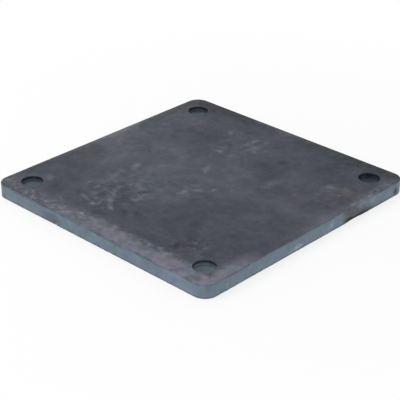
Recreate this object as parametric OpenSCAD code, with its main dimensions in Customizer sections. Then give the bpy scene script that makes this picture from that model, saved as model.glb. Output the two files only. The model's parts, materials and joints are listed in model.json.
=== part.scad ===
// Square steel base plate, cut in one piece from hot-rolled plate, with rounded corners and a
// round anchor hole right through near each corner. Millimetres, +Z up.
// The origin is the centre of the underside, and the plate lies flat on Z = 0.

/* [Plate] */
// Length of the plate along X
plate_x = 200; // [120:1:400]
// Length of the plate along Y
plate_y = 200; // [120:1:400]
// Thickness of the plate
thickness = 10; // [4:0.5:30]
// Radius of the four corners, seen from above
corner_r = 9.5; // [2:0.5:20]
// Width of the worn bevel along the upper and lower edges of the outline
edge_arris = 0.4; // [0.1:0.1:1]

/* [Anchor holes] */
// Diameter of each hole
hole_d = 15; // [8:0.5:22]
// Distance from the centre of a hole to each of the two nearest edges
hole_inset = 18; // [16:0.5:40]
// Width of the worn bevel around the upper and lower rims of a hole
hole_arris = 0.3; // [0.1:0.1:1]

/* [Hidden] */
hole_r = hole_d / 2;
// Centre distances of the anchor holes
hole_pitch_x = plate_x - 2 * hole_inset;
hole_pitch_y = plate_y - 2 * hole_inset;
// How far a cutter runs past the face that it cuts
cut_over = 1;
mill_scale = [0.33, 0.35, 0.39];
$fn = 96;

// Puts a copy of its children at the four corners of a rectangle centred on the Z axis.
module at_corners(spread_x, spread_y) {
    for (side_x = [-1, 1], side_y = [-1, 1])
        translate([side_x * spread_x / 2, side_y * spread_y / 2, 0]) children();
}

// Straight stock of the plate's thickness that lies along X, with its long edges bevelled.
module bevelled_bar(length, width) {
    half = width / 2;
    flat_half = half - edge_arris;
    rotate([90, 0, 90])
        linear_extrude(height = length, center = true)
            polygon([
                [-flat_half, 0], [flat_half, 0],
                [half, edge_arris], [half, thickness - edge_arris],
                [flat_half, thickness], [-flat_half, thickness],
                [-half, thickness - edge_arris], [-half, edge_arris]
            ]);
}

// Round post that makes one corner of the outline, bevelled as the bars are.
module corner_post() {
    flat_r = corner_r - edge_arris;
    rotate_extrude()
        polygon([
            [0, 0], [flat_r, 0],
            [corner_r, edge_arris], [corner_r, thickness - edge_arris],
            [flat_r, thickness], [0, thickness]
        ]);
}

// The cut outline, before its holes: two crossed bars, and a post in each corner between them.
module blank() {
    straight_x = plate_x - 2 * corner_r;
    straight_y = plate_y - 2 * corner_r;
    bevelled_bar(straight_x, plate_y);
    rotate([0, 0, 90]) bevelled_bar(straight_y, plate_x);
    at_corners(straight_x, straight_y) corner_post();
}

// What one anchor hole takes away: the bore, and the bevel at each rim.
module hole_cutter() {
    rim_r = hole_r + hole_arris + cut_over;
    bevel_h = hole_arris + cut_over;
    translate([0, 0, -cut_over]) cylinder(r = hole_r, h = thickness + 2 * cut_over);
    translate([0, 0, -cut_over]) cylinder(r1 = rim_r, r2 = hole_r, h = bevel_h);
    translate([0, 0, thickness - hole_arris]) cylinder(r1 = hole_r, r2 = rim_r, h = bevel_h);
}

module plate() {
    color(mill_scale)
        difference() {
            blank();
            at_corners(hole_pitch_x, hole_pitch_y) hole_cutter();
        }
}

plate();
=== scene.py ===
import json
import math

import bpy
import numpy as np
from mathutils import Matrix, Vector, geometry


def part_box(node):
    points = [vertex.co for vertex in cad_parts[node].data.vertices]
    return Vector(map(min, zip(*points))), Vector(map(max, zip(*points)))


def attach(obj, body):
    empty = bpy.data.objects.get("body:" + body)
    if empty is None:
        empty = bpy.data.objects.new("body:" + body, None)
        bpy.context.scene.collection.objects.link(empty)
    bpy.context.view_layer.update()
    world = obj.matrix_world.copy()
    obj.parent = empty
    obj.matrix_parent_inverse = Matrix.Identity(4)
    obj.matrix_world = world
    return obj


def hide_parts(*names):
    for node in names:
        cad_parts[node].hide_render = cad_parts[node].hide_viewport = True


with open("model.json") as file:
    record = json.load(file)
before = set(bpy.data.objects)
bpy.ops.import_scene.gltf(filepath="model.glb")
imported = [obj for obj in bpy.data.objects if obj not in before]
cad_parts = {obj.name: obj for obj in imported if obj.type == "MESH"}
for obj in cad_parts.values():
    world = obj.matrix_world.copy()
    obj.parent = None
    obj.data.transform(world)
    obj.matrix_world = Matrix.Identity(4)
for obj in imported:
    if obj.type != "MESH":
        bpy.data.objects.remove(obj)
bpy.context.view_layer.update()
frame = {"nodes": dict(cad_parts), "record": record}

MM = 0.001
NEAR = 0.01 * MM                                      # points this close to a face lie on it

# Sizes of the plate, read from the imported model
cad_points = np.array([v.co for v in frame["nodes"]["plate"].data.vertices])
half_x, half_y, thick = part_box("plate")[1]
on_right_side = np.abs(cad_points[:, 0] - half_x) < NEAR
on_top = np.abs(cad_points[:, 2] - thick) < NEAR
corner_r = half_y - cad_points[on_right_side, 1].max()
arris = half_x - cad_points[on_top, 0].max()
anchors = next(m for m in frame["record"]["mounts"] if m["name"] == "anchor_pattern")["dims"]
hole_r = anchors["hole_r_mm"] * MM
# The same in millimetres, for the marks: the walls, the top face, and how far out the holes are
RIGHT, BACK, TOP = half_x / MM, half_y / MM, thick / MM
FRONT = -BACK
HOLE_X, HOLE_Y = anchors["spacing_x_mm"] / 2, anchors["spacing_y_mm"] / 2
hole_centres = [np.array([sx * HOLE_X, sy * HOLE_Y]) * MM for sx in (-1, 1) for sy in (-1, 1)]

# How fine the mesh is
OUTLINE_STEP = 0.45 * MM                              # between points along the outline
HOLE_POINTS = 104                                     # round a hole
ARRIS_ROWS = 2                                        # across the rounding of an edge
WALL_ROWS = 15                                        # down a cut wall
FLAT_INSETS = (0.75 * MM, 1.2 * MM)                   # rings on a flat face, beside the arris
GRADED_RINGS = ((1.9 * MM, 2), (2.9 * MM, 3), (4.3 * MM, 4))    # inset, and every how many points
PIT_RINGS = ((0.35, 7), (0.7, 11), (1.0, 14), (1.4, 16))        # share of a pit's radius, and points
TOP_STEP = 1.6 * MM                                   # between the other points of the top face
UNDER_STEP = 2.4 * MM                                 # between those of the underside
MERGE = 0.001 * MM                                    # points closer than this are one

# Marks in the surface: centre, half-lengths along X, Y and Z, and height, all in mm.
# A negative height is a dent.
MARKS = (
    ((RIGHT, -81, 5), (3, 0.6, 9), 0.14),             # where the cut began, a ridge down the wall
    ((RIGHT, 43, 2), (4, 12, 9), -0.45),              # gouged stretch under the char
    ((RIGHT, 88, 2.6), (3, 1.6, 2.2), -0.9),          # deep pit beside the right corner
    ((24, FRONT, 9.1), (7, 3, 0.7), -0.3),            # nick under the front edge
    ((-39, FRONT, 2), (6, 3, 3.5), -0.18),            # dent in the front wall
    ((RIGHT, 19, 5), (3, 1.1, 1.1), 0.25),            # drops of spatter
    ((RIGHT, -16, 0.9), (3, 2.0, 0.9), 0.3),
    ((-35, FRONT, 0.9), (1.2, 3, 0.9), 0.3),
)
# Pits in the top face: centre, radius and depth, in mm
PITS = (
    ((-58, 7), 1.1, 0.20),
    ((-82, 3), 1.0, 0.15),
    ((68, -18), 1.2, 0.22),
    ((38, -67), 1.0, 0.20),
    ((84, 45), 1.3, 0.20),
    ((-11, -66), 0.8, 0.12),
    ((46, -48), 0.9, 0.15),
)
# Seeded noise for the relief
SEED = 7
LATTICE = 32
lattice = np.random.default_rng(SEED).uniform(-1, 1, (LATTICE,) * 3)
# Heights of the relief, in mm
SWELL, UNEVEN = 0.03, 0.015                           # of the rolled faces
DRAG, COARSE, COARSE_BELOW = 0.05, 0.02, 0.05         # of the cut walls
NICK, BURR = 0.6, 0.22                                # along the worn edges
LEDGE, LEDGE_DEPTH = 0.16, 4.2                        # the ridge in a hole, and how far down it is

# Colours of the finish, as seen on screen
SCALE_DARK, SCALE_LIGHT = (30, 35, 52), (134, 138, 148)
DUST_COLOURS = (116, 121, 133), (122, 119, 132)
# dark grey of the rims and pits; under the plate and at the foot of the walls it is painted shade
RIM_COLOUR = (58, 63, 66)
GREEN_DARK, GREEN_LIGHT = (34, 40, 49), (133, 139, 143)
RUST_DARK, RUST_LIGHT = (40, 32, 42), (138, 130, 137)
OLIVE_DARK, OLIVE_LIGHT = (28, 32, 32), (108, 113, 111)
DOT_COLOUR = (34, 36, 44)
WALL_DARK, WALL_LIGHT = (86, 100, 112), (132, 150, 163)
WALL_TINTS = ((101, 131, 139), (117, 118, 144), (122, 124, 127))
SPATTER_COLOUR = (172, 178, 180)
SPECK_COLOURS = (138, 128, 114), (108, 124, 136)
# char, dark to pale; the pale is partly the crust's own colour and partly painted highlight
CHAR_COLOURS = (33, 36, 40), (95, 99, 105)
# walls of the holes: their oxide colour, and the black of the painted shade under the rim
BORE_LIGHT, BORE_DARK = (112, 128, 136), (26, 29, 38)
# How light the scale is, and how much each layer shifts that
BASE_TONE, CLOUDS, MOTTLE, GRAIN = 0.141, 0.34, 0.38, 0.27
STREAKS, CURLS, SCUFFED, SPECKS = 0.12, 0.24, 1.15, 0.6
# How much of a layer's colour shows where it lies
SPECK_COVER, DOT_COVER, RING_COVER = 0.7, 0.85, 0.42
FRONT_RIM_COVER, LOW_RIM_SHADE, BACK_RIM_COVER, WALL_RIM_COVER = 0.62, 0.85, 0.8, 0.4
TINT_COVER, FOOT_SHADE = 0.46, 0.85
COLLAR_SHADE, LEDGE_SHADE = 0.55, 0.4
# How light the cut walls are, and the shifts by their lines and blotches and along their edges, that
# along the lower edge being painted shade
WALL_TONE, WALL_LINES, WALL_BLOTCHES = 0.35, 0.4, 1.8
WALL_UPPER_EDGE, WALL_LOWER_SHADE = -0.3, -0.22
# Roughness of the scale, and what grain, dust and cutting add to it
ROUGHNESS, ROUGH_GRAIN, ROUGH_DUST, ROUGH_CUT = 0.40, 0.22, 0.12, 0.06
SPECULAR, BUMP_STRENGTH, BUMP_HEIGHT = 0.2, 0.6, 0.14 * MM

# Camera, fitted to the photo: lens in mm, places in metres, roll in degrees
SENSOR_WIDTH, LENS = 36, 115.90
SEEN_FROM = (0.54754, -0.56777, 0.41421)
AIMED_AT = (0.02039, -0.0222, thick)
ROLL = -0.09
# Studio
SKY_LIGHT = 0.75                                      # strength of the white sky as a light
LAMP_PLACE, LAMP_SIZE, LAMP_POWER = (-0.5, -0.6, 1.1), 0.9, 6
FLOOR_REACH, FLOOR_DROP = 3.0, 0.3 * MM
FLOOR_WHITE = 0.76                                    # how much of the floor near the plate is white
WHITE_START, WHITE_END = 0.12, 0.4                    # from here on it turns all white
LIGHT_GAP = 12 * MM                                   # shorter paths of light pass through the floor

# Marks of the finish are in mm. On the top face each has x, y, its reach along and across, its turn
# in degrees and its strength. On the walls each has its centre, its reach and its strength.
# Soft zones of the top face, which shift the tone
ZONES = (
    (-95, 12, 55, 42, 0, 0.1),
    (-48, -86, 16, 8, 0, 0.05),
    (82, 57, 7, 6, 0, 0.07),
    (56, -71, 10, 10, 0, -0.05),
    (92, 12, 17, 24, 0, 0.06),
    (62, -12, 20, 18, 0, 0.06),
    (-38, -8, 66, 62, 0, 0.1),
    (-12, -28, 50, 36, 0, 0.05),
    (-14, 30, 44, 26, 0, 0.04),
    (-14, -92, 80, 12, 0, 0.06),
    (98, 10, 10, 60, 0, 0.07),
    (98, 50, 8, 30, 0, 0.1),
    (99.5, 12, 6, 30, 0, 0.11),
    (18, 14, 50, 34, 0, 0.045),
    (52, -58, 50, 40, 0, -0.03),
    (-85, 60, 26, 20, 0, 0.025),
    (60, 98, 80, 38, 0, -0.11),
    (-66, 99, 70, 34, 0, -0.1),
    (0, 100, 130, 8, 0, 0.07),
    (-75, -90, 44, 16, 0, 0.075),
    (78, 12, 34, 20, 0, 0.05),
    (-92, -6, 18, 22, 0, 0.05),
    (-100, 5, 7, 105, 0, 0.15),
    (-88.5, 88.5, 5, 5, 0, 0.1),
    (75.5, 88.5, 6, 6, 0, -0.07),
    (-88.5, -75.5, 5, 5, 0, 0.07),
    (-94, 94, 16, 16, 0, -0.06),
    (-86, -18, 16, 12, 0, -0.05),
    (-20, 80, 30, 26, 0, 0.025),
    (-98, -60, 8, 60, 0, -0.03),
    (88, 36, 12, 14, 0, 0.06),
    (60, 38, 14, 14, 0, -0.04),
    (-14, 38, 34, 16, 0, 0.03),
    (62, 12, 16, 14, 0, 0.03),
    (-94, -86, 10, 9, 0, 0.15),
    (-84, -45, 12, 11, 0, -0.08),
    (-81, 22, 11, 10, 0, 0.07),
    (-59, 77, 11, 10, 0, -0.08),
    (-95, 94, 9, 8, 0, 0.1),
    (10, 4, 9, 9, 0, 0.07),
    (22, -76, 9, 7, 0, 0.06),
)
# Light scuffs, and a painted highlight at one pit
SCUFFS = (
    (-37.5, 70, 7.5, 3.0, -35, 0.19),
    (-38, 75, 3.9, 1.9, -50, 0.08),
    (-13.5, 68, 9.9, 4.1, 92, 0.19),
    (-6, 64, 13.5, 4.6, 85, 0.11),
    (-3, 58, 5.1, 2.7, -60, 0.11),
    (-6.5, 74.5, 3.2, 3.0, 0, 0.1),
    (-26, 46.5, 6.3, 3.0, 0, 0.1),
    (-22, 41, 6.3, 3.3, 10, 0.15),
    (-27, 39.5, 6.3, 2.3, 5, 0.12),
    (-33, 44, 3.9, 1.9, 20, 0.1),
    (-22, 33, 6.3, 2.1, -60, 0.1),
    (-10.5, 40, 4.4, 3.5, 0, 0.11),
    (-7, 36.5, 2.9, 1.9, 0, 0.1),
    (-9.5, 16, 8.7, 3.7, -65, 0.15),
    (-6, 11, 5.7, 2.7, -55, 0.15),
    (4, 79, 3.9, 1.9, -60, 0.08),
    (39, 27, 13.5, 6.0, 85, 0.1),
    (70.5, 51, 9.9, 6.0, 88, 0.15),
    # a painted highlight at the pit at (84, 45)
    (83.6, 45.6, 3.9, 1.7, -55, 0.26),
    (99.8, 58, 18, 3.4, 90, 0.2),
    (98.5, 44, 9, 3.4, 90, 0.14),
    (96, 84, 13.5, 7.0, 80, 0.1),
    (-47.5, -16, 9.3, 4.6, -65, 0.19),
    (-50, -27.5, 4.6, 3.5, -20, 0.13),
    (-47.5, -36, 9.9, 4.6, -78, 0.12),
    (-46, -49, 4.4, 3.8, 0, 0.09),
    (-44, -55.5, 5.8, 3.3, -80, 0.11),
    (-32.5, -46, 5.1, 3.5, -40, 0.1),
    (-30.5, -52, 6.6, 3.2, -70, 0.12),
    (-25.5, -60, 12, 4.4, -55, 0.19),
    (-19, -67.5, 7.5, 3.2, -50, 0.22),
    (-14, -71.4, 5.8, 2.6, -14, 0.27),
    (-38.5, -72, 9.9, 2.7, -18, 0.19),
    (-38, -65, 6.2, 5.7, 0, 0.13),
    (-30, -68, 5.6, 2.5, 15, 0.13),
    (-25.3, -71, 4.4, 2.3, -70, 0.15),
    (-28, -75, 4.9, 3.5, 30, 0.25),
    (-22, -38.5, 9.9, 4.6, -28, 0.11),
    (-11, -41.5, 6.8, 4.4, 60, 0.1),
    (-10, -49, 8.1, 4.1, -85, 0.13),
    (-11.5, -53, 3.9, 2.7, 45, 0.1),
    (0, -35, 6.3, 4.4, 80, 0.05),
    (-5, -43, 7.5, 3.5, 50, 0.05),
    (4.5, -20.5, 6.9, 2.9, 95, 0.15),
    (3, -26, 4.1, 2.6, 60, 0.15),
    (10, -13.5, 6.9, 3.3, 25, 0.14),
    (17, -6, 5.8, 3.0, 75, 0.13),
    (-35, -6, 11.1, 8.4, 0, 0.06),
    (-38, -28, 4.4, 3.0, -20, 0.1),
    (-11, -60, 4.4, 2.5, 30, 0.1),
    (-52, -57, 5.6, 2.3, -60, 0.1),
    (-7, -64.5, 3.2, 3.5, 0, 0.1),
    (-49, -84.5, 6.9, 2.2, -25, 0.11),
    (-23, -88.5, 4.1, 2.5, 88, 0.22),
    (6.5, -87, 6.9, 2.3, -52, 0.22),
    (9, -86, 5.7, 1.9, -52, 0.14),
    (52, -88, 5.8, 3.0, -30, 0.19),
    (56, -86, 3.9, 2.5, -30, 0.16),
    (-77, -70, 6.3, 4.4, -40, 0.12),
    (-24, -32, 19.5, 15.2, 0, 0.04),
    (-33, -61, 5.1, 4.9, 0, -0.07),
    (-4, -68.5, 6.3, 2.7, -50, -0.1),
    (-21.5, -48.5, 8.2, 7, 0, 0.08),
    (2, -63, 9.9, 3.0, -50, -0.06),
    (-11, 58, 6.8, 2.7, 90, -0.09),
    (24, 58, 5.7, 6.4, 0, -0.08),
    (50, -62, 6.3, 7.0, 0, -0.05),
)
# Rust, and dull olive along the back edge
RUST = (
    (70, 18, 24, 17, -55, 0.9),
    (92, -3, 9, 12, 0, 1.3),
    (84, 46, 20, 20, 0, 0.9),
    (58, -75, 14, 8, -45, 1.0),
    (94, -34, 6, 16, 0, 0.5),
    (-56, 52, 32, 12, -50, 0.6),
    (-34, 30, 20, 9, -50, 0.6),
    (-85, -95, 14, 6, 0, 0.5),
    (-97, -78, 5, 10, 0, 0.5),
    (-46, -92, 12, 4, 0, 0.7),
    (-84, 95, 30, 11, 0, 0.7),
    (-93, 76, 12, 22, 0, 0.5),
    (-46, 89, 18, 10, 0, 0.6),
    (62, 91, 20, 9, 0, 0.4),
    (90, 62, 12, 20, 0, 0.6),
    (97, -48, 4, 20, 0, 0.5),
)
OLIVE = (
    (40, 97, 75, 15, 0, 0.8),
    (86, 95, 24, 18, 0, 0.7),
    (-75, 97, 50, 12, 0, 0.7),
    (-97, 60, 10, 50, 0, 0.5),
    (-97, -50, 7, 40, 0, 0.35),
    (-88, -86, 20, 9, 20, 0.5),
    (-54, -98.5, 17, 3.2, 0, 0.9),
    (68, -82, 13, 6, 40, 0.5),
)
# Where the scale has a grey-green cast
GREENISH = (
    (-78, 24, 34, 26, 0, 0.5),
    (-40, -4, 46, 40, 0, 0.4),
    (-22, -28, 22, 20, 0, 0.3),
    (-74, 66, 22, 8, -45, 0.6),
    (-56, 76, 9, 12, 0, 0.4),
    (66, -81, 12, 7, 30, 0.5),
    (84, 25, 26, 5, -47, 0.9),
    (-48, -86, 14, 7, 0, 0.5),
    (-38, -72, 14, 12, -45, 0.4),
    (-95, -67, 10, 7, -30, 0.8),
    (40, -91, 14, 6, 0, 0.5),
)
# Where pale specks lie
SPECKLED = (
    (-66, -96, 44, 10, 0, 0.6),
    (-34, -96, 30, 10, 0, 0.6),
    (-15, -89, 26, 8, 0, 0.5),
    (50, -89, 40, 8, 0, 0.5),
    (99, 52, 6, 30, 0, 0.45),
    (-97, 20, 6, 50, 0, 0.4),
    (62, -66, 14, 10, 0, 0.3),
    (70, 96, 50, 16, 0, -0.3),
    (-60, 97, 46, 12, 0, -0.22),
    (-95, -90, 10, 10, 0, 0.3),
    (97, 76, 6, 22, 0, 0.3),
)
# Where the face is rubbed and curled; elsewhere it is smoother
WORN = (
    (-30, -48, 42, 46, 0, 1.1),
    (-15, 58, 40, 34, 0, 0.6),
    (2, -18, 30, 24, 0, 0.6),
    (-70, 30, 40, 60, 0, 0.35),
    (82, 45, 26, 40, 0, 0.6),
    (60, -76, 50, 20, 0, 0.6),
    (0, 97, 130, 16, 0, 0.5),
)
# Where the dust is rubbed off
BARE = ((-19, -92, 14, 8, 0, 0.7),)
# Dark dots
DOTS = (
    (-58, 6.5, 3.0, 1.6, -30, 0.9),
    (-81, 3.5, 3.2, 1.2, -40, 0.7),
    (68, -18, 2.2, 1.5, 0, 0.8),
    (38, -67, 1.8, 1.2, 0, 0.7),
    (84.5, 45, 3.0, 2.0, 20, 0.8),
    (47, -56, 2.0, 1.4, 60, 0.5),
    (22, 60, 4.0, 3.0, 0, 0.3),
)
# Marks on the cut walls, which shift the tone
WALL_MARKS = (
    ((RIGHT, -81, 5), (4, 1.3, 9), 0.5),
    ((RIGHT, 19, 5), (4, 5, 5), 0.4),
    ((RIGHT, -16, 1.2), (4, 9, 4), 0.4),
    ((-40, FRONT, 4), (11, 4, 5.5), -1.3),
    ((12, FRONT, 9.2), (14, 3, 1.3), -1.3),
    ((24, FRONT, 8.4), (9, 3, 1.4), -1.0),
    ((-18, FRONT, 9.3), (15, 3, 1.1), -1.2),
    ((-66, FRONT, 9.2), (24, 3, 1.2), -1.0),
    ((60, FRONT, 9.4), (30, 3, 0.9), -0.7),
    ((RIGHT, 88, 2.6), (4, 3.2, 3.4), -1.7),
    ((RIGHT, 62, 7), (4, 5, 4), 0.5),
    ((RIGHT, 54, 9.6), (4, 10, 1.6), 0.9),
    ((RIGHT, 70, 1), (4, 14, 3), -0.5),
    ((82, FRONT, 1.6), (16, 4, 3.2), 0.6),
    ((76, FRONT, 8.8), (22, 4, 2.4), 0.5),
)
# Pale spatter on the cut walls
SPATTER = (
    ((RIGHT, 19, 5), (4, 1.8, 2.3), 1),
    ((RIGHT, -14.5, 2.9), (4, 8, 2.6), 1),
    ((-36, FRONT, 0.9), (3, 4, 1.6), 1),
    ((-30, FRONT, 1.4), (2, 4, 1), 1),
)
# Dark pits in the cut walls
WALL_PITS = (((RIGHT, 89, 4.2), (4, 3, 3), 0.75),)
# How far down the holes' walls carry painted shade under the rim, and how much further some of them
# do
BORE_SHADE_DEPTH, BORE_SHADE_REACH = 5.4, (30, 30, 30)
BORE_SHADE_SHIFTS = (
    ((HOLE_X, HOLE_Y, TOP / 2), BORE_SHADE_REACH, 11.5),
    ((HOLE_X, -HOLE_Y, TOP / 2), BORE_SHADE_REACH, -2.4),
    ((-HOLE_X, HOLE_Y, TOP / 2), BORE_SHADE_REACH, 1.6),
)
# Char on the cut walls, and where it is darkest
CHARRED = (
    ((RIGHT, 39, 5), (9, 11, 16), 2.2),
    ((RIGHT, 49, 0.5), (9, 19, 9), 2.2),
    ((RIGHT, 88.3, 4), (4, 2.6, 3), 1.1),
    ((-38, FRONT, 2.4), (8, 4, 4), 0.55),
)
BURNT = (((RIGHT, 38, 1), (9, 8, 4), -0.3),)


def smooth(value, start, end):
    """0 up to start, 1 from end, and an even S between them."""
    t = np.clip((value - start) / (end - start), 0, 1)
    return t * t * (3 - 2 * t)


def lumps(points, size):
    """Smooth noise from -1 to 1 at each point, with lumps of this size, also one for each axis."""
    scaled = np.asarray(points) / np.asarray(size)
    cell = np.floor(scaled).astype(int)
    t = scaled - cell
    t = t * t * (3 - 2 * t)
    total = np.zeros(len(scaled))
    for corner in np.ndindex(2, 2, 2):
        weight = np.prod(np.where(np.array(corner) == 1, t, 1 - t), axis=1)
        total += weight * lattice[tuple((cell + corner).T % LATTICE)]
    return total


def mound(points, centre, reach):
    """1 at the centre, falling smoothly to 0 at the reach along each axis."""
    away = (((points - centre) / reach) ** 2).sum(axis=1)
    return np.clip(1 - away, 0, 1) ** 2


def plate_outline():
    """Points round the plate and their outward normals, counter-clockwise."""
    points, normals = [], []
    arc_steps = round(math.pi / 2 * corner_r / OUTLINE_STEP)
    for k, (sx, sy) in enumerate(((1, 1), (-1, 1), (-1, -1), (1, -1))):
        centre = np.array([sx * (half_x - corner_r), sy * (half_y - corner_r)])
        for angle in np.radians(np.linspace(90 * k, 90 * (k + 1), arc_steps, endpoint=False)):
            normals.append((math.cos(angle), math.sin(angle)))
            points.append(centre + corner_r * np.array(normals[-1]))
        ahead = math.radians(90 * (k + 1))
        normal = np.array([math.cos(ahead), math.sin(ahead)])
        along = np.array([-normal[1], normal[0]])
        straight = 2 * ((half_x if k % 2 == 0 else half_y) - corner_r)
        for way in np.linspace(0, straight, round(straight / OUTLINE_STEP), endpoint=False):
            normals.append(normal)
            points.append(centre + corner_r * normal + along * way)
    return np.array(points), np.array(normals)


def hole_outline(centre):
    """Points round a hole and their normals into it, clockwise."""
    angles = np.linspace(0, -2 * math.pi, HOLE_POINTS, endpoint=False)
    outward = np.column_stack([np.cos(angles), np.sin(angles)])
    return centre + hole_r * outward, -outward


def outlines():
    """The outline of the plate and then those of its holes, each as points and normals."""
    return [plate_outline()] + [hole_outline(centre) for centre in hole_centres]


def wall_profile():
    """Rings down a wall, from face to face: inset, height, and the normal's tilt in degrees."""
    tilts = np.linspace(90, 0, ARRIS_ROWS + 1)
    rounding = [
        (arris * (1 - math.cos(math.radians(a))), arris * (1 - math.sin(math.radians(a))), a)
        for a in tilts
    ]
    upper = [(inset, 0, 90) for inset in reversed(FLAT_INSETS)] + rounding
    rows = [(inset, thick - drop, tilt) for inset, drop, tilt in upper]
    rows += [(0, z, 0) for z in np.linspace(thick - arris, arris, WALL_ROWS + 1)[1:-1]]
    rows += [(inset, drop, -tilt) for inset, drop, tilt in reversed(upper)]
    return rows


def sweep(points, normals):
    """The rings of a wall along an outline: their points, their normals, and how cut each ring is."""
    places, facings, cuts = [], [], []
    for inset, z, tilt in wall_profile():
        tilt = math.radians(tilt)
        flat = points - normals * inset
        places.append(np.column_stack([flat, np.full(len(flat), z)]))
        upward = np.full(len(flat), math.sin(tilt))
        facings.append(np.column_stack([normals * math.cos(tilt), upward]))
        cuts.append(math.cos(tilt))
    return np.array(places), np.array(facings), np.array(cuts)


def flat_points(step, pits):
    """Points of a flat face inside its rings, this far apart, and closer near its edges and pits."""
    inner = GRADED_RINGS[-1][0]
    found = []
    for points, normals in outlines():
        found += [points[::every] - normals[::every] * inset for inset, every in GRADED_RINGS]
    rng = np.random.default_rng(SEED)
    xs = np.arange(-half_x, half_x, step)
    ys = np.arange(-half_y, half_y, step * math.sqrt(3) / 2)
    grid = np.array([(x + step / 2 * (j % 2), y) for j, y in enumerate(ys) for x in xs])
    grid += rng.uniform(-0.15, 0.15, grid.shape) * step
    edge = inner + 0.6 * step
    keep = (np.abs(grid[:, 0]) < half_x - edge) & (np.abs(grid[:, 1]) < half_y - edge)
    # the corner's rounding is under its graded rings
    past = np.abs(grid) - (np.array([half_x, half_y]) - corner_r)
    keep &= ~((past > 0).all(axis=1) & (np.hypot(*past.T) > corner_r - edge))
    for centre in hole_centres:
        keep &= np.hypot(*(grid - centre).T) > hole_r + edge
    for centre, radius, _ in pits:
        centre, radius = np.array(centre) * MM, radius * MM
        keep &= np.hypot(*(grid - centre).T) > radius * PIT_RINGS[-1][0] + 0.5 * step
        found.append(centre[None])
        for share, count in PIT_RINGS:
            turn = np.linspace(0, 2 * math.pi, count, endpoint=False)
            found.append(centre + share * radius * np.column_stack([np.cos(turn), np.sin(turn)]))
    return np.vstack(found + [grid[keep]])


def fill(loops, extra):
    """Triangles between the loops, on their points followed by the extra ones, counter-clockwise."""
    points = np.vstack(loops + [extra])
    loop_of = np.full(len(points), -1)
    edges, first = [], 0
    for number, loop in enumerate(loops):
        count = len(loop)
        edges += [(first + i, first + (i + 1) % count) for i in range(count)]
        loop_of[first:first + count] = number
        first += count
    made = geometry.delaunay_2d_cdt([Vector(p) for p in points], edges, [], 1, MERGE, True)
    source = np.array([ids[0] for ids in made[3]])
    triangles = source[np.array(made[2])]
    # a triangle on three points of one hole's loop is inside that hole
    owners = loop_of[triangles]
    in_hole = (owners[:, 0] > 0) & (owners == owners[:, :1]).all(axis=1)
    triangles = triangles[~in_hole]
    a, b, c = (points[triangles[:, k]] for k in range(3))
    turned = np.cross(b - a, c - a) < 0
    triangles[turned] = triangles[turned][:, ::-1]
    return triangles


def relief(points, facings, bore):
    """How far each point stands out of the plain surface, in metres."""
    # a number added to a place picks another part of the noise
    outward = 1 - facings[:, 2] ** 2
    mm = points / MM
    # rolled faces: a slow swell and a fine unevenness
    rolled = SWELL * lumps(mm, 31) + UNEVEN * lumps(mm + 50, 7)
    # cut walls: drag lines that lean with depth, rougher towards the underside
    depth = TOP - mm[:, 2]
    lean = mm + np.column_stack([0.03 * depth ** 2, 0.03 * depth ** 2, np.zeros(len(mm))])
    drag = lumps(lean, (1.4, 1.4, 14))
    coarse = lumps(mm + 9, (3.5, 3.5, 2.0))
    cut = DRAG * drag + (COARSE + COARSE_BELOW * smooth(depth, 3, 10)) * coarse
    height = outward * cut + (1 - outward) * rolled
    # small dents and burrs all along the worn edges
    edge = 1 - smooth(np.minimum(depth, mm[:, 2]), 0.2, 0.9)
    nicks = np.clip(lumps(mm + 77, 1.6) - 0.35, 0, 1) * np.clip(lumps(mm + 31, 9) + 0.3, 0, 1)
    height -= NICK * edge * nicks * outward
    low_edge = smooth(depth, TOP - 1.5, TOP - 0.5)
    height += BURR * low_edge * outward * np.clip(lumps(mm + 13, 1.3) - 0.1, 0, 1)
    # the torch left a low ridge round each hole
    from_ledge = np.abs(depth - LEDGE_DEPTH - 0.5 * lumps(mm, 4))
    height += bore * LEDGE * (1 - smooth(from_ledge, 0, 0.9))
    for centre, reach, rise in MARKS:
        height += rise * mound(mm, centre, reach)
    for (x, y), radius, deep in PITS:
        height -= deep * mound(mm, (x, y, TOP), (radius, radius, 1.0))
    return height * MM


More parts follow.
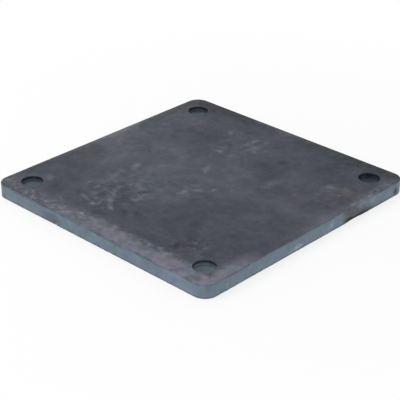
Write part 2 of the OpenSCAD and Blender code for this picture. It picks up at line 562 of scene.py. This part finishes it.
def build_plate():
    """The whole plate as one closed mesh."""
    places, facings, cuts, bores, faces = [], [], [], [], []
    top_loops, under_loops, first = [], [], 0
    for number, (points, normals) in enumerate(outlines()):
        ring_places, ring_facings, ring_cuts = sweep(points, normals)
        rings, count = ring_places.shape[:2]
        index = first + np.arange(rings * count).reshape(rings, count)
        ahead = np.roll(index, -1, axis=1)
        quads = np.stack([index[:-1], index[1:], ahead[1:], ahead[:-1]], axis=-1)
        faces += quads.reshape(-1, 4).tolist()
        places.append(ring_places.reshape(-1, 3))
        facings.append(ring_facings.reshape(-1, 3))
        cuts.append(np.repeat(ring_cuts, count))
        bores.append(cuts[-1] * (number > 0))
        top_loops.append((index[0], ring_places[0, :, :2]))
        under_loops.append((index[-1], ring_places[-1, :, :2]))
        first += rings * count
    flats = ((top_loops, TOP_STEP, PITS, thick, 1), (under_loops, UNDER_STEP, (), 0, -1))
    for face_loops, step, pits, z, up in flats:
        extra = flat_points(step, pits)
        triangles = fill([p for i, p in face_loops], extra)
        ids = np.concatenate([i for i, p in face_loops] + [first + np.arange(len(extra))])
        faces += ids[triangles][:, ::up].tolist()
        places.append(np.column_stack([extra, np.full(len(extra), z)]))
        facings.append(np.tile((0.0, 0.0, float(up)), (len(extra), 1)))
        cuts.append(np.zeros(len(extra)))
        bores.append(np.zeros(len(extra)))
        first += len(extra)
    places, facings = np.vstack(places), np.vstack(facings)
    places += facings * relief(places, facings, np.concatenate(bores))[:, None]
    mesh = bpy.data.meshes.new("steel_plate")
    mesh.from_pydata(places.tolist(), [], faces)
    mesh.shade_smooth()
    for name, parts in (("cut", cuts), ("bore", bores)):
        values = np.concatenate(parts).astype(np.float32)
        mesh.attributes.new(name, "FLOAT", "POINT").data.foreach_set("value", values)
    piece = bpy.data.objects.new("steel_plate", mesh)
    bpy.context.scene.collection.objects.link(piece)
    return piece


def srgb(red, green, blue):
    """A colour as seen on screen, 0 to 255, as the linear colour that a shader takes."""
    def linear(value):
        value /= 255
        return value / 12.92 if value <= 0.04045 else ((value + 0.055) / 1.055) ** 2.4
    return (linear(red), linear(green), linear(blue), 1)


class Graph:
    """Short calls that build the nodes of a material or a world. Lengths are in millimetres."""

    def __init__(self, owner):
        owner.use_nodes = True
        self.nodes = owner.node_tree.nodes
        self.links = owner.node_tree.links
        self.nodes.clear()

    def node(self, kind, inputs=(), **settings):
        """A node; inputs gives each one's socket or value by name or number."""
        made = self.nodes.new("ShaderNode" + kind)
        for key, value in settings.items():
            setattr(made, key, value)
        for key, value in dict(inputs).items():
            if isinstance(value, bpy.types.NodeSocket):
                self.links.new(value, made.inputs[key])
            else:
                made.inputs[key].default_value = value
        return made

    def math(self, operation, *values, clamp=False):
        return self.node("Math", enumerate(values), operation=operation, use_clamp=clamp).outputs[0]

    def plus(self, total, value, factor=1.0, clamp=False):
        """The total, with the value times the factor added to it."""
        return self.math("MULTIPLY_ADD", value, factor, total, clamp=clamp)

    def times(self, first, *others, clamp=False):
        """The product of all the values."""
        for number, value in enumerate(others, 1):
            first = self.math("MULTIPLY", first, value, clamp=clamp and number == len(others))
        return first

    def swing(self, noise, amount, middle=0.0):
        """The middle, moved up and down by noise from 0 to 1."""
        return self.plus(middle, self.math("SUBTRACT", noise, 0.5), amount)

    def distance(self, a, b):
        """How far apart two values are."""
        return self.math("ABSOLUTE", self.math("SUBTRACT", a, b))

    def step(self, value, start, end, low=0.0, high=1.0):
        """low up to start, high from end, and an even S between them."""
        inputs = {"Value": value, "From Min": start, "From Max": end, "To Min": low, "To Max": high}
        return self.node("MapRange", inputs, interpolation_type="SMOOTHSTEP").outputs[0]

    def vector(self, operation, *values):
        return self.node("VectorMath", enumerate(values), operation=operation).outputs[0]

    def vector_length(self, value):
        return self.node("VectorMath", {0: value}, operation="LENGTH").outputs["Value"]

    def mix(self, factor, a, b):
        """Colour a where the factor is 0 and b where it is 1, each a socket or as seen on screen."""
        a, b = (c if isinstance(c, bpy.types.NodeSocket) else srgb(*c) for c in (a, b))
        return self.node("Mix", {0: factor, 6: a, 7: b}, data_type="RGBA").outputs[2]

    def noise(self, where, size, detail=3.0, rough=0.5):
        """Fractal noise from 0 to 1, with lumps of about this size."""
        inputs = {"Vector": where, "Scale": 1 / (size * MM), "Detail": detail, "Roughness": rough}
        return self.node("TexNoise", inputs).outputs["Fac"]

    def warped(self, where, size, push):
        """The place, pushed about by noise with lumps of this size."""
        inputs = {"Vector": where, "Scale": 1 / (size * MM), "Detail": 2.0}
        noise = self.node("TexNoise", inputs).outputs["Color"]
        offset = self.vector("SUBTRACT", noise, (0.5, 0.5, 0.5))
        return self.vector("MULTIPLY_ADD", offset, (push * MM,) * 3, where)

    def spot(self, where, centre, reach, turn=0):
        """1 at the centre, falling to 0 at the reach along each axis, turned about Z by degrees."""
        placed = self.node("Mapping", {
            "Vector": where,
            "Location": [c * MM for c in centre],
            "Rotation": (0, 0, math.radians(turn)),
            "Scale": [r * MM for r in reach],
        }, vector_type="TEXTURE").outputs[0]
        cone = self.node("TexGradient", {"Vector": placed}, gradient_type="SPHERICAL").outputs["Fac"]
        return self.step(cone, 0, 1)

    def face_spots(self, where, marks, depth):
        """The sum of marks on the top face, which end this far below it."""
        total = 0.0
        for x, y, along, across, turn, strength in marks:
            made = self.spot(where, (x, y, TOP), (along, across, depth), turn)
            total = self.plus(total, made, strength)
        return total

    def wall_spots(self, where, marks):
        """The sum of marks on the walls."""
        total = 0.0
        for centre, reach, strength in marks:
            total = self.plus(total, self.spot(where, centre, reach), strength)
        return total

    def seen(self, paths):
        """1 on rays that show something to the eye, also in a mirror or through glass."""
        seen = self.math("MAXIMUM", paths["Is Camera Ray"], paths["Is Glossy Ray"])
        return self.math("MAXIMUM", seen, paths["Is Transmission Ray"])


class PlateGraph(Graph):
    """The nodes of the plate's finish, with the places and the noise that its layers share."""

    def __init__(self, material):
        super().__init__(material)
        self.plain = self.node("TexCoord").outputs["Object"]
        place = self.node("SeparateXYZ", {0: self.plain})
        self.x, self.y, self.z = (self.math("DIVIDE", place.outputs[axis], MM) for axis in range(3))
        self.from_right = self.math("SUBTRACT", RIGHT, self.x)
        self.from_front = self.math("SUBTRACT", self.y, FRONT)
        self.below_top = self.math("SUBTRACT", TOP, self.z)
        self.cut = self.node("Attribute", attribute_name="cut").outputs["Fac"]
        self.bore = self.node("Attribute", attribute_name="bore").outputs["Fac"]
        # stretching Z gives the underside a pattern of its own
        self.rolled = self.vector("MULTIPLY", self.plain, (1, 1, 30))
        self.ragged = self.warped(self.warped(self.plain, 16, 9), 2.6, 2.2)
        self.clouds = self.noise(self.warped(self.rolled, 18, 9), 24, 5.0, 0.58)
        self.mottle = self.noise(self.warped(self.rolled, 5, 2.5), 5.5, 4.0, 0.62)
        self.grain = self.noise(self.rolled, 1.1, 3.0, 0.6)
        self.worn = self.face_spots(self.ragged, WORN, 400)
        self.on_top = self.step(self.z, TOP - 1.5, TOP - 0.8)
        self.scraped = self.step(self.noise(self.plain, 11, 3.0, 0.6), 0.44, 0.58)
        # the cut walls: lines down them, blotches, and crust that flowed along the right one
        lines = self.vector("MULTIPLY", self.warped(self.plain, 4, 0.5), (1, 1, 0.12))
        self.drag = self.noise(lines, 0.9, 3.0, 0.6)
        self.blotch = self.noise(self.warped(self.plain, 6, 4), 9, 5.0, 0.62)
        flow = self.vector("MULTIPLY", self.warped(self.plain, 3, 2.4), (1, 0.22, 1))
        self.crust = self.noise(flow, 1.5, 4.0, 0.65)


def pale_specks(g):
    """Where pale specks lie, from 0 to 1."""
    specks = g.step(g.noise(g.warped(g.rolled, 4, 4), 3.6, 4.0, 0.62), 0.47, 0.66)
    return g.times(specks, g.face_spots(g.warped(g.plain, 8, 5), SPECKLED, 6))


def rubbed_streaks(g):
    """Streaks across the plate, broken up by the clouds."""
    streaky = g.vector("MULTIPLY", g.warped(g.rolled, 9, 5), (1 / 1.6, 1 / 11, 1))
    streaks = g.step(g.noise(streaky, 1.0, 2.0, 0.5), 0.56, 0.78)
    return g.times(streaks, g.step(g.clouds, 0.42, 0.62, 0.12, 1.0))


def light_scuffs(g):
    """The placed scuffs, with the mottle showing through."""
    scuffs = g.face_spots(g.warped(g.plain, 3.2, 2.4), SCUFFS, 5)
    return g.times(scuffs, g.step(g.mottle, 0.34, 0.56, 0.55, 1.15))


def thin_curls(g):
    """Thin curls in the worn areas, where something was dragged about."""
    curls = g.noise(g.warped(g.rolled, 7, 8), 11, 1.0, 0.5)
    curls = g.step(g.distance(curls, 0.5), 0.0, 0.06, 1, 0)
    broken = g.step(g.noise(g.warped(g.rolled, 3, 3), 6, 3.0, 0.6), 0.48, 0.68)
    return g.times(curls, broken, g.worn)


def scale_tone(g, specks):
    """How light the scale is, from 0 to 1."""
    tone = g.swing(g.clouds, CLOUDS, BASE_TONE)
    uneven = g.swing(g.grain, GRAIN, g.swing(g.mottle, MOTTLE))
    tone = g.plus(tone, uneven, g.step(g.worn, 0, 1, 0.55, 1.5))
    tone = g.plus(tone, g.face_spots(g.ragged, ZONES, 60))
    tone = g.plus(tone, rubbed_streaks(g), STREAKS)
    tone = g.plus(tone, light_scuffs(g), SCUFFED)
    tone = g.plus(tone, thin_curls(g), CURLS)
    return g.plus(tone, specks, SPECKS, clamp=True)


def dust_cover(g):
    """How thickly pale dust lies along the front edge and round the front corner, from 0 to 1."""
    torn = g.swing(g.noise(g.rolled, 5, 6.0, 0.72), 19)
    front = g.plus(g.plus(g.from_front, torn), g.step(g.x, -RIGHT, 10, 5.5, 0))
    front = g.times(g.step(front, 7, 17, 1, 0), g.step(g.x, -90, 35, 0.12, 1.0))
    right = g.step(g.plus(g.from_right, torn), 3, 14, 1, 0)
    right = g.times(right, g.step(g.y, -76, -42, 1.0, 0.0))
    patchy = g.step(g.noise(g.warped(g.rolled, 4, 3), 7, 5.0, 0.65), 0.34, 0.6, 0.55, 1.0)
    covered = g.math("SUBTRACT", 1.0, g.face_spots(g.ragged, BARE, 6), clamp=True)
    return g.times(g.math("MAXIMUM", front, right), g.on_top, patchy, covered)


def strewn_colour(g, colour, dust, specks):
    """The colour under dust and specks."""
    hue = g.step(g.noise(g.warped(g.rolled, 9, 6), 16, 2.0, 0.5), 0.38, 0.62)
    colour = g.mix(dust, colour, g.mix(hue, *DUST_COLOURS))
    hue = g.step(g.noise(g.warped(g.rolled, 5, 3), 4, 2.0, 0.5), 0.44, 0.56)
    return g.mix(g.times(specks, SPECK_COVER, clamp=True), colour, g.mix(hue, *SPECK_COLOURS))


def rimmed_colour(g, colour, olive_colour):
    """The colour with its rims: scraped dark in front, painted shade under the plate along its lower
    edge, and olive behind.
    """
    front = g.step(g.plus(g.from_front, g.mottle, 2.4), 1.6, 3.0, 1, 0)
    front = g.times(front, g.scraped, g.on_top, FRONT_RIM_COVER)
    colour = g.mix(front, colour, RIM_COLOUR)
    # painted shade along the bottom arris and under the plate's edge, where it sits on the floor
    past_x = g.math("SUBTRACT", g.math("ABSOLUTE", g.x), RIGHT)
    past_y = g.math("SUBTRACT", g.math("ABSOLUTE", g.y), BACK)
    low = g.step(g.plus(g.math("MAXIMUM", past_x, past_y), g.mottle, 1.2), -1.2, -0.2)
    low = g.times(low, g.step(g.z, 1.0, 2.0, 1, 0), LOW_RIM_SHADE)
    colour = g.mix(low, colour, RIM_COLOUR)
    back = g.step(g.plus(g.y, g.mottle, 4.0), BACK - 1.0, BACK + 1.5)
    return g.mix(g.times(back, g.on_top, BACK_RIM_COVER), colour, olive_colour)


def bloomed_colour(g, colour, tone, olive_colour):
    """The colour with faint rust, a grey-green cast and olive on it."""
    rust = g.step(g.mottle, 0.32, 0.62, 0.35, 0.8)
    rust = g.times(g.face_spots(g.ragged, RUST, 6), rust, clamp=True)
    colour = g.mix(rust, colour, g.mix(tone, RUST_DARK, RUST_LIGHT))
    green = g.times(g.step(g.noise(g.rolled, 13, 3.0, 0.55), 0.54, 0.7), 0.3)
    green = g.plus(green, g.face_spots(g.ragged, GREENISH, 6), clamp=True)
    colour = g.mix(green, colour, g.mix(tone, GREEN_DARK, GREEN_LIGHT))
    olive = g.step(g.noise(g.rolled, 3, 4.0, 0.7), 0.36, 0.6)
    olive = g.times(g.face_spots(g.ragged, OLIVE, 6), olive, clamp=True)
    return g.mix(olive, colour, olive_colour)


def marked_colour(g, colour):
    """The colour with a dark ring round each hole, and dark dots."""
    out_x = g.math("SUBTRACT", g.math("ABSOLUTE", g.x), HOLE_X)
    out_y = g.math("SUBTRACT", g.math("ABSOLUTE", g.y), HOLE_Y)
    from_hole = g.vector_length(g.node("CombineXYZ", {0: out_x, 1: out_y}).outputs[0])
    past_hole = g.math("SUBTRACT", g.plus(from_hole, g.mottle, 1.6), hole_r / MM)
    colour = g.mix(g.step(past_hole, 0.6, 1.7, RING_COVER, 0), colour, BORE_DARK)
    dots = g.face_spots(g.warped(g.plain, 1.6, 0.9), DOTS, 4)
    return g.mix(g.math("MINIMUM", dots, DOT_COVER), colour, DOT_COLOUR)


def face_colour(g, tone, dust, specks):
    """Mill scale on the rolled faces."""
    olive_colour = g.mix(tone, OLIVE_DARK, OLIVE_LIGHT)
    colour = g.mix(tone, SCALE_DARK, SCALE_LIGHT)
    colour = strewn_colour(g, colour, dust, specks)
    colour = rimmed_colour(g, colour, olive_colour)
    colour = bloomed_colour(g, colour, tone, olive_colour)
    return marked_colour(g, colour)


def oxide_colour(g):
    """Grey-blue oxide of the cut walls, darker along the upper edge, with painted shade along the
    lower edge and at the foot.
    """
    tone = g.swing(g.blotch, WALL_BLOTCHES, g.plus(WALL_TONE, g.drag, WALL_LINES))
    tone = g.plus(tone, g.step(g.below_top, 0.2, 1.8, 1, 0), WALL_UPPER_EDGE)
    # painted shade along the lower edge
    tone = g.plus(tone, g.step(g.z, 0.3, 2.0, 1, 0), WALL_LOWER_SHADE)
    tone = g.plus(tone, g.wall_spots(g.warped(g.plain, 2.2, 2.2), WALL_MARKS), clamp=True)
    # painted shade at the foot of the wall, by the floor
    foot = g.step(g.plus(g.z, g.blotch, 2.4), 1.7, 2.7, 1, 0)
    colour = g.mix(tone, WALL_DARK, WALL_LIGHT)
    colour = g.mix(g.times(foot, FOOT_SHADE), colour, RIM_COLOUR)
    teal, lilac, grey = WALL_TINTS
    tint = g.step(g.noise(g.warped(g.plain, 5, 6), 8, 4.0, 0.6), 0.36, 0.64)
    greyed = g.step(g.noise(g.warped(g.plain, 4, 4), 6, 3.0, 0.6), 0.46, 0.66)
    return g.mix(TINT_COVER, colour, g.mix(greyed, g.mix(tint, teal, lilac), grey))


def char_cover(g):
    """How much the cut walls are charred, from 0 to 1."""
    char = g.wall_spots(g.warped(g.plain, 3.5, 6), CHARRED)
    return g.times(char, g.step(g.crust, 0.35, 0.6, 1.0, 0.75), clamp=True)


def wall_colour(g, char):
    """Oxide with pale spatter, a scraped upper edge, char with painted highlights in it, and dark
    pits.
    """
    spatter = g.step(g.wall_spots(g.warped(g.plain, 1.6, 2.4), SPATTER), 0.1, 0.7)
    splash = g.step(g.noise(g.plain, 1.6, 3.0, 0.6), 0.38, 0.62, 0.15, 0.65)
    colour = g.mix(g.times(spatter, splash), oxide_colour(g), SPATTER_COLOUR)
    rim = g.step(g.below_top, 0.3, 1.4, 1, 0)
    colour = g.mix(g.times(g.scraped, WALL_RIM_COVER, rim), colour, RIM_COLOUR)
    # the char goes from dark to pale with its crust, the pale streaks partly painted highlight, and
    # is darker towards the bottom
    crust_and_glint = g.plus(g.plus(g.crust, g.step(g.z, 0.4, 4), 0.3), g.wall_spots(g.plain, BURNT))
    colour = g.mix(char, colour, g.mix(g.step(crust_and_glint, 0.35, 0.9), *CHAR_COLOURS))
    return g.mix(g.wall_spots(g.warped(g.plain, 1.6, 0.8), WALL_PITS), colour, RIM_COLOUR)


def bore_colour(g):
    """Walls of the holes: painted shade, black under the rim, over their oxide colour lower down,
    with a painted dark line of shade at a ledge lower down.
    """
    # painted shade: dark from the rim down to a ragged depth, further in some holes
    shade_depth = g.plus(BORE_SHADE_DEPTH, g.wall_spots(g.plain, BORE_SHADE_SHIFTS))
    ragged_depth = g.plus(g.math("ADD", g.below_top, 0.6), g.noise(g.plain, 3, 3.0, 0.6), -2.0)
    bore_shade = g.step(g.math("DIVIDE", ragged_depth, shade_depth), -0.1, 1.0, 1, 0)
    bore_shade = g.plus(bore_shade, g.math("SUBTRACT", g.blotch, 0.45), 0.7, clamp=True)
    colour = g.mix(bore_shade, BORE_LIGHT, BORE_DARK)
    # painted shade in a band just under the rim
    collar = g.step(g.plus(g.below_top, g.blotch, -1.0), 0.5, 1.3, COLLAR_SHADE, 0)
    colour = g.mix(collar, colour, BORE_DARK)
    # painted shade: a dark line at the ledge
    ledge = g.math("ABSOLUTE", g.plus(g.math("SUBTRACT", g.below_top, 3.0), g.blotch, -1.6))
    return g.mix(g.step(ledge, 0.1, 0.7, LEDGE_SHADE, 0), colour, BORE_DARK)


def fine_bump(g, char):
    """Relief that is too fine for the mesh."""
    fine = g.plus(g.times(g.mottle, 0.5), g.noise(g.rolled, 0.5, 2.0, 0.6), 0.35)
    fine_wall = g.plus(g.times(g.blotch, 0.5), g.drag, 0.9)
    fine_wall = g.plus(fine_wall, g.times(g.crust, char), 3.0)
    height = g.plus(g.times(fine, g.math("SUBTRACT", 1.0, g.cut)), fine_wall, g.cut)
    inputs = {"Height": height, "Strength": BUMP_STRENGTH, "Distance": BUMP_HEIGHT}
    return g.node("Bump", inputs).outputs[0]


def plate_finish():
    """Mill scale on the rolled faces, and grey-blue oxide on the cut walls, with painted shade in the
    holes and along the lower edges.
    """
    material = bpy.data.materials.new("plate_finish")
    g = PlateGraph(material)
    specks = pale_specks(g)
    tone = scale_tone(g, specks)
    dust = dust_cover(g)
    char = char_cover(g)
    walls = g.mix(g.bore, wall_colour(g, char), bore_colour(g))
    rough = g.plus(ROUGHNESS, g.grain, ROUGH_GRAIN)
    rough = g.plus(g.plus(rough, dust, ROUGH_DUST), g.cut, ROUGH_CUT)
    shader = g.node("BsdfPrincipled", {
        "Base Color": g.mix(g.cut, face_colour(g, tone, dust, specks), walls),
        "Roughness": rough,
        "Metallic": g.step(tone, 0.1, 0.6, 0.45, 0.2),
        "Normal": fine_bump(g, char),
        "Specular IOR Level": SPECULAR,
    })
    g.node("OutputMaterial", {"Surface": shader.outputs[0]})
    return material


def camera():
    """A long lens, looking down on the front corner."""
    data = bpy.data.cameras.new("camera")
    data.sensor_width = SENSOR_WIDTH
    data.lens = LENS
    made = bpy.data.objects.new("camera", data)
    bpy.context.scene.collection.objects.link(made)
    made.location = SEEN_FROM
    facing = (Vector(AIMED_AT) - Vector(SEEN_FROM)).to_track_quat("-Z", "Y")
    made.rotation_euler = facing.to_euler()
    made.rotation_euler.rotate_axis("Z", math.radians(ROLL))
    bpy.context.scene.camera = made


def sky():
    """A white sky, which lights the plate less than it shows."""
    world = bpy.data.worlds.new("studio")
    bpy.context.scene.world = world
    g = Graph(world)
    seen = g.seen(g.node("LightPath").outputs)
    level = g.node("MapRange", {"Value": seen, "To Min": SKY_LIGHT, "To Max": 1.0}).outputs[0]
    background = g.node("Background", {"Color": (1, 1, 1, 1), "Strength": level})
    g.node("OutputWorld", {"Surface": background.outputs[0]})


def lamp():
    """One wide, soft lamp at the left, aimed at the plate."""
    data = bpy.data.lights.new("soft_lamp", "AREA")
    data.shape = "DISK"
    data.size = LAMP_SIZE
    data.energy = LAMP_POWER
    made = bpy.data.objects.new("soft_lamp", data)
    bpy.context.scene.collection.objects.link(made)
    made.location = LAMP_PLACE
    made.rotation_euler = (-made.location).to_track_quat("-Z", "Y").to_euler()


def floor_finish():
    """Pale, and whiter further off and to the eye, so that it shows a shadow but no horizon.

    It lets light through close to the plate, and is clear from below.
    """
    material = bpy.data.materials.new("pale_floor")
    g = Graph(material)
    place = g.node("TexCoord").outputs["Object"]
    paths = g.node("LightPath").outputs
    white = g.step(g.vector_length(place), WHITE_START, WHITE_END, FLOOR_WHITE, 1.0)
    matte = g.node("BsdfDiffuse", {"Color": (0.95, 0.95, 0.95, 1)}).outputs[0]
    bright = g.node("Emission", {"Strength": 1.0}).outputs[0]
    shown = g.node("MixShader", {0: g.times(g.seen(paths), white), 1: matte, 2: bright}).outputs[0]
    near = g.math("LESS_THAN", paths["Ray Length"], LIGHT_GAP)
    near = g.times(near, g.math("SUBTRACT", 1.0, paths["Is Camera Ray"]))
    gone = g.math("MAXIMUM", near, g.node("NewGeometry").outputs["Backfacing"])
    clear = g.node("BsdfTransparent").outputs[0]
    whole = g.node("MixShader", {0: gone, 1: shown, 2: clear}).outputs[0]
    g.node("OutputMaterial", {"Surface": whole})
    return material


def pale_floor():
    """A square floor, just under the plate."""
    corners = [(x * FLOOR_REACH, y * FLOOR_REACH, 0) for x, y in ((-1, -1), (1, -1), (1, 1), (-1, 1))]
    mesh = bpy.data.meshes.new("floor")
    mesh.from_pydata(corners, [], [(0, 1, 2, 3)])
    mesh.materials.append(floor_finish())
    made = bpy.data.objects.new("floor", mesh)
    made.location.z = -FLOOR_DROP
    bpy.context.scene.collection.objects.link(made)
    return made


bpy.context.scene.view_settings.view_transform = "Standard"
camera()
sky()
lamp()
floor = pale_floor()
plate = build_plate()
plate.data.materials.append(plate_finish())
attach(plate, "root")
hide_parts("plate")
